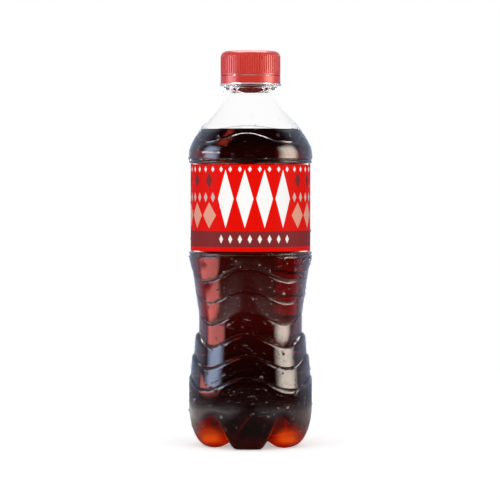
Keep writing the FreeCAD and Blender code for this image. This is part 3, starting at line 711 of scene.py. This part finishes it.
# moulded polyethylene: a soft sheen, slightly uneven where the plastic flowed, over a fine grain that is
# drawn coarser than the real one
CAP_IOR = 1.54
CAP_GRAIN = 0.7
CAP_GRAIN_HEIGHT = 0.06
CAP_GRAIN_STRENGTH = 0.01
CAP_FLOW = 11.0
CAP_SMOOTHEST = 0.28
CAP_ROUGHEST = 0.36
cap_plastic, tree, output, place = new_material("moulded_red_polyethylene")
grain = add_node(tree, "ShaderNodeTexNoise", inputs={
    "Vector": place, "Scale": 1 / (CAP_GRAIN * MM), "Detail": 3.0})
flow = add_node(tree, "ShaderNodeTexNoise", inputs={
    "Vector": place, "Scale": 1 / (CAP_FLOW * MM), "Detail": 1.0})
bump = add_node(tree, "ShaderNodeBump", inputs={
    "Height": grain.outputs["Fac"], "Strength": CAP_GRAIN_STRENGTH, "Distance": CAP_GRAIN_HEIGHT * MM})
tint = add_node(tree, "ShaderNodeMix", {"data_type": "RGBA"}, {
    "Factor": flow.outputs["Fac"], MIX_FROM: linear("#ca1c09"), MIX_TO: linear("#d62810")})
sheen = add_node(tree, "ShaderNodeMapRange", inputs={
    "Value": flow.outputs["Fac"], "To Min": CAP_SMOOTHEST, "To Max": CAP_ROUGHEST})
shader = add_node(tree, "ShaderNodeBsdfPrincipled", inputs={
    "Base Color": tint.outputs[MIX_RESULT], "Roughness": sheen.outputs[0], "IOR": CAP_IOR,
    "Normal": bump.outputs["Normal"]})
tree.links.new(shader.outputs["BSDF"], output.inputs["Surface"])
for name in ("cap_shell", "tamper_band"):
    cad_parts[name].data.materials.clear()
    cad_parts[name].data.materials.append(cap_plastic)

# Condensation: drops of water on the cold bottle and its label, from fine specks to drops about to run.
# Each is a low dome that sits a hair into the surface under it.

# condensed water: clear and sharp, so each drop shows as a small lens with a glint
WATER_IOR = 1.333
water, tree, output, place = new_material("condensed_water")
shader = add_node(tree, "ShaderNodeBsdfPrincipled", inputs={
    "Base Color": linear("#ffffff"), "Transmission Weight": 1.0, "IOR": WATER_IOR, "Roughness": 0.0})
tree.links.new(shader.outputs["BSDF"], output.inputs["Surface"])

# the drops' tree: points spread over a surface, each with a dome of a random size, more often a small one
DROP_HEIGHT = 0.5
DROP_SEATING = -0.06
DROP_RINGS = 6
SMALL_DROPS_POWER = 2.5
DROP_INPUTS = {
    "Geometry": "NodeSocketGeometry",
    "Drops per square metre": "NodeSocketFloat",
    "Least spacing": "NodeSocketFloat",
    "Smallest radius": "NodeSocketFloat",
    "Largest radius": "NodeSocketFloat",
    "Seed": "NodeSocketInt",
    "Sides": "NodeSocketInt",
    "Water": "NodeSocketMaterial",
}
drops_tree = bpy.data.node_groups.new("condensation", "GeometryNodeTree")
for name, kind in DROP_INPUTS.items():
    drops_tree.interface.new_socket(name, in_out="INPUT", socket_type=kind)
drops_tree.interface.new_socket("Geometry", in_out="OUTPUT", socket_type="NodeSocketGeometry")
given = add_node(drops_tree, "NodeGroupInput").outputs
scattered = add_node(drops_tree, "GeometryNodeDistributePointsOnFaces", {"distribute_method": "POISSON"}, {
    "Mesh": given["Geometry"], "Density Max": given["Drops per square metre"],
    "Distance Min": given["Least spacing"], "Seed": given["Seed"]})
chance = add_node(drops_tree, "FunctionNodeRandomValue", {"data_type": "FLOAT"}, {"Seed": given["Seed"]})
rarer = add_node(drops_tree, "ShaderNodeMath", {"operation": "POWER"}, {
    0: chance.outputs[1], 1: SMALL_DROPS_POWER})
radius = add_node(drops_tree, "ShaderNodeMapRange", inputs={
    "Value": rarer.outputs[0], "To Min": given["Smallest radius"], "To Max": given["Largest radius"]})
ball = add_node(drops_tree, "GeometryNodeMeshUVSphere", inputs={
    "Segments": given["Sides"], "Rings": DROP_RINGS, "Radius": 1.0})
ball_place = add_node(drops_tree, "GeometryNodeInputPosition")
spot = add_node(drops_tree, "ShaderNodeSeparateXYZ", inputs={0: ball_place.outputs[0]})
lowered = add_node(drops_tree, "ShaderNodeMath", {"operation": "MULTIPLY"}, {
    0: spot.outputs["Z"], 1: DROP_HEIGHT})
seated = add_node(drops_tree, "ShaderNodeMath", {"operation": "MAXIMUM"}, {
    0: lowered.outputs[0], 1: DROP_SEATING})
dome_spot = add_node(drops_tree, "ShaderNodeCombineXYZ", inputs={
    "X": spot.outputs["X"], "Y": spot.outputs["Y"], "Z": seated.outputs[0]})
dome = add_node(drops_tree, "GeometryNodeSetPosition", inputs={
    "Geometry": ball.outputs["Mesh"], "Position": dome_spot.outputs[0]})
smooth_dome = add_node(drops_tree, "GeometryNodeSetShadeSmooth", inputs={
    "Geometry": dome.outputs["Geometry"]})
upright = add_node(drops_tree, "FunctionNodeAlignRotationToVector", {"axis": "Z"}, {
    "Vector": scattered.outputs["Normal"]})
hanging = add_node(drops_tree, "FunctionNodeAlignRotationToVector", {"axis": "Y", "pivot_axis": "Z"}, {
    "Rotation": upright.outputs[0], "Vector": (0, 0, 1)})
placed = add_node(drops_tree, "GeometryNodeInstanceOnPoints", inputs={
    "Points": scattered.outputs["Points"], "Instance": smooth_dome.outputs["Geometry"],
    "Rotation": hanging.outputs[0], "Scale": radius.outputs[0]})
made = add_node(drops_tree, "GeometryNodeRealizeInstances", inputs={"Geometry": placed.outputs[0]})
wet = add_node(drops_tree, "GeometryNodeSetMaterial", inputs={
    "Geometry": made.outputs[0], "Material": given["Water"]})
add_node(drops_tree, "NodeGroupOutput", inputs={"Geometry": wet.outputs[0]})


def condense(name, rows, seed, density, spacing, smallest, largest, sides):
    """Drops scattered over the surface through some rows, as one plain mesh that rides with the bottle."""
    drops = new_piece(name, np.concatenate(rows) * MM, joined_rows(rows))
    modifier = drops.modifiers.new("condensation", "NODES")
    modifier.node_group = drops_tree
    contents = {
        "Drops per square metre": density,
        "Least spacing": spacing * MM,
        "Smallest radius": smallest * MM,
        "Largest radius": largest * MM,
        "Seed": seed,
        "Sides": sides,
        "Water": water,
    }
    for socket in drops_tree.interface.items_tree:
        if socket.in_out == "INPUT" and socket.name in contents:
            modifier[socket.identifier] = contents[socket.name]
    evaluated = drops.evaluated_get(bpy.context.evaluated_depsgraph_get())
    drops_mesh = bpy.data.meshes.new_from_object(evaluated)
    drops.modifiers.clear()
    drops.data = drops_mesh
    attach(drops, "bottle")


FINE_DROPS = {"density": 6e4, "spacing": 1.2, "smallest": 0.24, "largest": 0.7, "sides": 8}
LARGE_DROPS = {"density": 1.1e4, "spacing": 3.5, "smallest": 0.6, "largest": 1.5, "sides": 14}
NECK_DROPS = {"density": 6e3, "spacing": 3.0, "smallest": 0.2, "largest": 0.5, "sides": 8}
LABEL_DROPS = {"density": 4e3, "spacing": 4.0, "smallest": 0.4, "largest": 1.2, "sides": 12}
LOWEST_DROPS = HEEL_HEIGHT / 3
LABEL_DROPS_MARGIN = 0.5
LABEL_DROPS_ROWS = 12
wall_rows = [row for row in outside if row[:, 2].min() > LOWEST_DROPS]
body_rows = [row for row in wall_rows if row[:, 2].max() < LOWER_GROOVE]
shoulder_rows = [row for row in wall_rows if upper_groove < row[:, 2].min() < FILL_LEVEL]
neck_rows = [row for row in wall_rows if row[:, 2].min() > FILL_LEVEL]
label_drop_levels = np.linspace(
    label_foot + LABEL_DROPS_MARGIN, label_top - LABEL_DROPS_MARGIN, LABEL_DROPS_ROWS)
label_rows = [ring(label_bore + FILM, height) for height in label_drop_levels]
condense("fine_drops_body", body_rows, seed=3, **FINE_DROPS)
condense("large_drops_body", body_rows, seed=4, **LARGE_DROPS)
condense("fine_drops_shoulder", shoulder_rows, seed=11, **FINE_DROPS)
condense("large_drops_shoulder", shoulder_rows, seed=12, **LARGE_DROPS)
condense("fine_drops_neck", neck_rows, seed=17, **NECK_DROPS)
condense("drops_on_label", label_rows, seed=21, **LABEL_DROPS)

# Studio: a pale floor that fades out into a white surround, softboxes and reflector cards at the sides, and
# a dim front so that the dark drink stays dark. Its sizes are in metres.

# floor paint: matt and pale, with painted shade and painted light on it: it turns a dim grey in reflections
# and through the drink; through the drink it shows a painted pool of light at each side of the front, and
# low on the heel its reflection shows a painted soft grey sheen, stronger on the left
FLOOR_HALF = 1.2
FLOOR_FADE_START = 0.12
FLOOR_FADE_END = 0.55
FLOOR_LIFT = 0.4
FLANK_START = 0.03
FLANK_END = 0.09
PAINTED_GLOW_STRENGTH = 3.0
FRONT_START = -0.02
FRONT_END = -0.06
PAINTED_SHEEN_START = 0.32
PAINTED_SHEEN_END = 0.16
PAINTED_SHEEN_RIGHT = 0.17
PAINTED_SHEEN_LEFT = 0.36
PAINTED_SHEEN_TURN = 0.1
floor_corners = [(-FLOOR_HALF, -FLOOR_HALF, 0), (FLOOR_HALF, -FLOOR_HALF, 0)]
floor_corners += [(FLOOR_HALF, FLOOR_HALF, 0), (-FLOOR_HALF, FLOOR_HALF, 0)]
floor = new_piece("floor", floor_corners, [(0, 1, 2, 3)])
floor_material_with_painted_glow, tree, output, place = new_material("pale_floor_with_painted_glow")
rays = add_node(tree, "ShaderNodeLightPath").outputs
distance = add_node(tree, "ShaderNodeVectorMath", {"operation": "LENGTH"}, {0: place})
fade = add_node(tree, "ShaderNodeMapRange", inputs={
    "Value": distance.outputs["Value"], "From Min": FLOOR_FADE_START, "From Max": FLOOR_FADE_END})
# painted shade: in reflections and through the drink the floor is a dim grey instead of pale
indirect = add_node(tree, "ShaderNodeMath", {"operation": "MAXIMUM"}, {
    0: rays["Is Glossy Ray"], 1: rays["Is Transmission Ray"]})
paint = add_node(tree, "ShaderNodeMix", {"data_type": "RGBA"}, {
    "Factor": indirect.outputs[0], MIX_FROM: linear("#fbfbfb"), MIX_TO: linear("#6a6866")})
matt = add_node(tree, "ShaderNodeBsdfDiffuse", inputs={"Color": paint.outputs[MIX_RESULT]})
spot = add_node(tree, "ShaderNodeSeparateXYZ", inputs={0: place})
aside = add_node(tree, "ShaderNodeMath", {"operation": "ABSOLUTE"}, {0: spot.outputs["X"]})
# painted light: a glow at each side of the bottle, in front of it, that only rays through the drink see as a
# pool of light
painted_glow_flanks = add_node(tree, "ShaderNodeMapRange", inputs={
    "Value": aside.outputs[0], "From Min": FLANK_START, "From Max": FLANK_END, "To Max": PAINTED_GLOW_STRENGTH})
ahead = add_node(tree, "ShaderNodeMapRange", inputs={
    "Value": spot.outputs["Y"], "From Min": FRONT_START, "From Max": FRONT_END})
painted_light_pool = add_node(tree, "ShaderNodeMath", {"operation": "MULTIPLY"}, {
    0: painted_glow_flanks.outputs[0], 1: ahead.outputs[0]})
# painted sheen: near the bottle the same side glow shows in reflections, stronger on the left
nearby = add_node(tree, "ShaderNodeMapRange", {"interpolation_type": "SMOOTHSTEP"}, {
    "Value": distance.outputs["Value"], "From Min": PAINTED_SHEEN_START, "From Max": PAINTED_SHEEN_END})
leftwards = add_node(tree, "ShaderNodeMapRange", inputs={
    "Value": spot.outputs["X"], "From Min": PAINTED_SHEEN_TURN, "From Max": -PAINTED_SHEEN_TURN,
    "To Min": PAINTED_SHEEN_RIGHT, "To Max": PAINTED_SHEEN_LEFT})
painted_sheen_near_flanks = add_node(tree, "ShaderNodeMath", {"operation": "MULTIPLY"}, {
    0: painted_glow_flanks.outputs[0], 1: nearby.outputs[0]})
painted_floor_sheen = add_node(tree, "ShaderNodeMath", {"operation": "MULTIPLY"}, {
    0: painted_sheen_near_flanks.outputs[0], 1: leftwards.outputs[0]})
# the floor's emission: an even lift seen by the camera, the painted pool for rays through the drink and the
# painted sheen for reflections
seen_light = add_node(tree, "ShaderNodeMath", {"operation": "MULTIPLY"}, {
    0: rays["Is Camera Ray"], 1: FLOOR_LIFT})
lift_and_painted_pool = add_node(tree, "ShaderNodeMath", {"operation": "MULTIPLY_ADD"}, {
    0: painted_light_pool.outputs[0], 1: rays["Is Transmission Ray"], 2: seen_light.outputs[0]})
floor_lift_and_painted_light = add_node(tree, "ShaderNodeMath", {"operation": "MULTIPLY_ADD"}, {
    0: painted_floor_sheen.outputs[0], 1: rays["Is Glossy Ray"], 2: lift_and_painted_pool.outputs[0]})
light = add_node(tree, "ShaderNodeEmission", inputs={"Strength": floor_lift_and_painted_light.outputs[0]})
lit = add_node(tree, "ShaderNodeAddShader", inputs={0: matt.outputs[0], 1: light.outputs[0]})
clear = add_node(tree, "ShaderNodeBsdfTransparent")
faded = add_node(tree, "ShaderNodeMixShader", inputs={
    0: fade.outputs[0], 1: lit.outputs[0], 2: clear.outputs[0]})
tree.links.new(faded.outputs[0], output.inputs["Surface"])
floor.data.materials.append(floor_material_with_painted_glow)

# the surround: white to the camera and through the bottle, but dim under the table's edge; in reflections it
# is dark in front and pale blue behind, and matt surfaces get most of their light from the front. A ray that
# is mirrored on its way through the bottle and leaves to the front finds it dark too.
BEHIND_START = 0.05
BEHIND_END = 0.45
LIGHT_FROM_BEHIND = 0.5
LIGHT_FROM_FRONT = 1.27
BACK_DIRECTION = 0.3
FRONT_DIRECTION = -0.9
UNDER_TABLE = -0.16
OVER_TABLE = -0.06
UNDER_TABLE_LIGHT = 0.15
world = bpy.data.worlds.new("studio")
bpy.context.scene.world = world
world.use_nodes = True
tree = world.node_tree
tree.nodes.clear()
rays = add_node(tree, "ShaderNodeLightPath").outputs
heading = add_node(tree, "ShaderNodeTexCoord")
direction = add_node(tree, "ShaderNodeSeparateXYZ", inputs={0: heading.outputs["Generated"]})
behind = add_node(tree, "ShaderNodeMapRange", inputs={
    "Value": direction.outputs["Y"], "From Min": BEHIND_START, "From Max": BEHIND_END})
mirrored = add_node(tree, "ShaderNodeMix", {"data_type": "RGBA"}, {
    "Factor": behind.outputs[0], MIX_FROM: linear("#1d1d1e"), MIX_TO: linear("#b3c5e2")})
from_front = add_node(tree, "ShaderNodeMapRange", inputs={
    "Value": direction.outputs["Y"], "From Min": BACK_DIRECTION, "From Max": FRONT_DIRECTION,
    "To Min": LIGHT_FROM_BEHIND, "To Max": LIGHT_FROM_FRONT})
ambient = add_node(tree, "ShaderNodeMix", {"data_type": "RGBA"}, {
    "Factor": rays["Is Glossy Ray"], MIX_FROM: from_front.outputs[0], MIX_TO: mirrored.outputs[MIX_RESULT]})
over_table = add_node(tree, "ShaderNodeMapRange", inputs={
    "Value": direction.outputs["Z"], "From Min": UNDER_TABLE, "From Max": OVER_TABLE,
    "To Min": UNDER_TABLE_LIGHT})
turned_back = add_node(tree, "ShaderNodeMath", {"operation": "GREATER_THAN"}, {
    0: rays["Glossy Depth"], 1: rays["Diffuse Depth"]})
onwards = add_node(tree, "ShaderNodeMapRange", inputs={
    "Value": turned_back.outputs[0], "To Min": 1.0, "To Max": behind.outputs[0]})
beyond = add_node(tree, "ShaderNodeMath", {"operation": "MULTIPLY"}, {
    0: over_table.outputs[0], 1: onwards.outputs[0]})
through = add_node(tree, "ShaderNodeMix", {"data_type": "RGBA"}, {
    "Factor": rays["Is Transmission Ray"], MIX_FROM: ambient.outputs[MIX_RESULT], MIX_TO: beyond.outputs[0]})
backdrop = add_node(tree, "ShaderNodeMix", {"data_type": "RGBA"}, {
    "Factor": rays["Is Camera Ray"], MIX_FROM: through.outputs[MIX_RESULT], MIX_TO: linear("#ffffff")})
surround = add_node(tree, "ShaderNodeBackground", inputs={"Color": backdrop.outputs[MIX_RESULT]})
add_node(tree, "ShaderNodeOutputWorld", inputs={"Surface": surround.outputs[0]})


def softbox(name, azimuth, distance, heights, width, fades, colour, radiance):
    """An upright glowing panel that faces the bottle, at an azimuth from the front towards +X.

    Its light fades out over three given stretches: at its sides, its foot and its top.
    """
    foot, top = heights
    side_fade, foot_fade, top_fade = fades
    half = width / 2
    tall = top - foot
    corners = [(-half, 0, 0), (half, 0, 0), (half, 0, tall), (-half, 0, tall)]
    panel = new_piece(name, corners, [(0, 1, 2, 3)])
    cloth, tree, output, place = new_material(name)
    spot = add_node(tree, "ShaderNodeSeparateXYZ", inputs={0: place})
    up = spot.outputs["Z"]
    aside = add_node(tree, "ShaderNodeMath", {"operation": "ABSOLUTE"}, {0: spot.outputs["X"]}).outputs[0]
    lit = fading_mask(
        tree, (aside, half, half - side_fade), (up, 0, foot_fade), (up, tall, tall - top_fade))
    light = add_node(tree, "ShaderNodeEmission", inputs={"Color": linear(colour), "Strength": radiance})
    clear = add_node(tree, "ShaderNodeBsdfTransparent")
    faded = add_node(tree, "ShaderNodeMixShader", inputs={0: lit, 1: clear.outputs[0], 2: light.outputs[0]})
    tree.links.new(faded.outputs[0], output.inputs["Surface"])
    panel.data.materials.append(cloth)
    turn = math.radians(azimuth)
    panel.location = (distance * math.sin(turn), -distance * math.cos(turn), foot)
    panel.rotation_euler = (0, 0, turn)
    panel.visible_camera = False
    panel.visible_diffuse = False
    panel.visible_shadow = False
    return panel


# the panels that show in reflections alone: a cool softbox on the left and a warm one on the right, a white
# card for the cap, red cards low and high on the left, and a white softbox overhead
mirrored_panels = [
    softbox("cool_softbox", azimuth=-76, distance=0.9, heights=(-0.01, 0.80), width=0.78,
            fades=(0.32, 0.01, 0.3), colour="#bccef2", radiance=7.8),
    softbox("warm_softbox", azimuth=80, distance=0.9, heights=(-0.01, 0.85), width=0.90,
            fades=(0.36, 0.01, 0.35), colour="#fff1e2", radiance=10.0),
    softbox("cap_card", azimuth=-76, distance=0.85, heights=(0.19, 0.30), width=0.74,
            fades=(0.06, 0.03, 0.03), colour="#fff4ee", radiance=11.0),
    softbox("low_red_card", azimuth=-80, distance=0.42, heights=(-0.012, 0.042), width=0.46,
            fades=(0.10, 0.01, 0.006), colour="#ff8e87", radiance=6.5),
    softbox("near_red_card", azimuth=-76, distance=0.2, heights=(0.010, 0.038), width=0.21,
            fades=(0.05, 0.010, 0.008), colour="#ff8e87", radiance=6.5),
    softbox("high_red_card", azimuth=-64, distance=0.9, heights=(0.70, 2.1), width=0.6,
            fades=(0.2, 0.3, 0.5), colour="#e8503c", radiance=4.0),
]
top_softbox = softbox("top_softbox", azimuth=0, distance=0.0, heights=(0.75, 1.25), width=0.6,
                      fades=(0.05, 0.05, 0.05), colour="#ffffff", radiance=11.0)
top_softbox.rotation_euler.x = -math.pi / 2
for panel in mirrored_panels + [top_softbox]:
    panel.visible_transmission = False

# the panels that show through the bottle alone: white at both sides of the back, and black between them
seen_through_panels = [
    softbox("right_back_panel", azimuth=154, distance=0.9, heights=(0.07, 0.28), width=0.4,
            fades=(0.04, 0.03, 0.03), colour="#ffffff", radiance=5.0),
    softbox("left_back_panel", azimuth=-154, distance=0.9, heights=(0.09, 0.28), width=0.4,
            fades=(0.04, 0.03, 0.03), colour="#ffffff", radiance=5.0),
    softbox("black_flag", azimuth=180, distance=0.25, heights=(0.0, 0.06), width=0.15,
            fades=(0.05, 0.035, 0.035), colour="#000000", radiance=0.0),
]
for panel in seen_through_panels:
    panel.visible_glossy = False

# Camera: level with the top of the label and a little to the right, as far back as a long lens needs. Clear
# plastic, drink and drops lie behind each other, so a ray may pass many surfaces. Its sizes are in metres.

CAMERA_DISTANCE = 1.29
CAMERA_AZIMUTH = math.radians(3.5)
CAMERA_HEIGHT = 0.1388
AIM = (-0.00025, 0.0, 0.0995)
HALF_FIELD = 0.127
CLEAR_BOUNCES = 32
GLOSSY_BOUNCES = 16
lens = bpy.data.cameras.new("camera")
lens.lens = lens.sensor_width / 2 * CAMERA_DISTANCE / HALF_FIELD
camera = bpy.data.objects.new("camera", lens)
camera.location = (
    CAMERA_DISTANCE * math.sin(CAMERA_AZIMUTH), -CAMERA_DISTANCE * math.cos(CAMERA_AZIMUTH), CAMERA_HEIGHT)
sight = Vector(AIM) - camera.location
camera.rotation_euler = sight.to_track_quat("-Z", "Y").to_euler()
bpy.context.scene.collection.objects.link(camera)
bpy.context.scene.camera = camera
bpy.context.scene.view_settings.view_transform = "Standard"
bpy.context.scene.cycles.max_bounces = CLEAR_BOUNCES
bpy.context.scene.cycles.transmission_bounces = CLEAR_BOUNCES
bpy.context.scene.cycles.glossy_bounces = GLOSSY_BOUNCES
